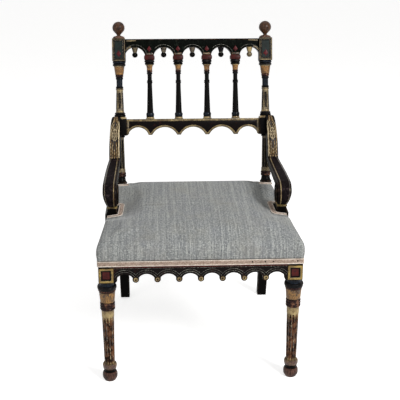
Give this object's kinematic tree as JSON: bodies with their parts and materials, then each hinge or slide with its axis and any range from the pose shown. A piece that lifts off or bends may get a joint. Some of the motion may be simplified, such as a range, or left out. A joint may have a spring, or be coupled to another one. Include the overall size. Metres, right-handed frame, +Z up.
{
  "type": "open armchair",
  "caption": "Open armchair with an ebonized and gilded frame, an arcaded back of turned colonnettes, scrolled arms and a sprung upholstered seat.",
  "frame": {"origin": "middle of the footprint's bounding box, on the floor", "axes": "+X across the seat towards the sitter's left, +Y from the front to the back, +Z up"},
  "size_m": [0.5704, 0.6782, 0.9279],
  "materials": {
    "ebonized": "polished",
    "gilt": "worn gilding",
    "worn_brown": "worn polish",
    "beech": "sawn",
    "steel": "drawn",
    "seat_cloth": "slubbed weave",
    "braid": "woven braid",
    "webbing": "woven jute",
    "black_cloth": "plain weave"
  },
  "bodies": {
    "root": {"front_leg_left": "ebonized", "front_leg_right": "ebonized", "rear_post_left": "ebonized", "rear_post_right": "ebonized", "crest_rail": "ebonized", "colonnette_1": "ebonized", "colonnette_2": "ebonized", "colonnette_3": "ebonized", "colonnette_4": "ebonized", "mid_rail": "ebonized", "front_arcade": "ebonized", "side_rail_left": "ebonized", "side_rail_right": "ebonized", "rear_rail": "ebonized", "arm_left": "ebonized", "arm_right": "ebonized", "arm_plinth_left": "ebonized", "arm_plinth_right": "ebonized", "finial_left": "worn_brown", "finial_right": "worn_brown", "crest_drops": "gilt", "arcade_bosses": "gilt", "front_rail": "beech", "corner_block_front_left": "beech", "corner_block_front_right": "beech", "corner_block_rear_left": "beech", "corner_block_rear_right": "beech", "arm_dowels": "beech", "plinth_dowels": "beech", "arcade_screws": "steel", "corner_screws": "steel", "plinth_screws": "steel", "seat_springs": "steel", "seat_cushion": "seat_cloth", "seat_braid": "braid", "plinth_braid": "braid", "webbing_lengthwise": "webbing", "webbing_crosswise": "webbing", "spring_hessian": "webbing", "dust_cover": "black_cloth"}
  },
  "joints": []
}
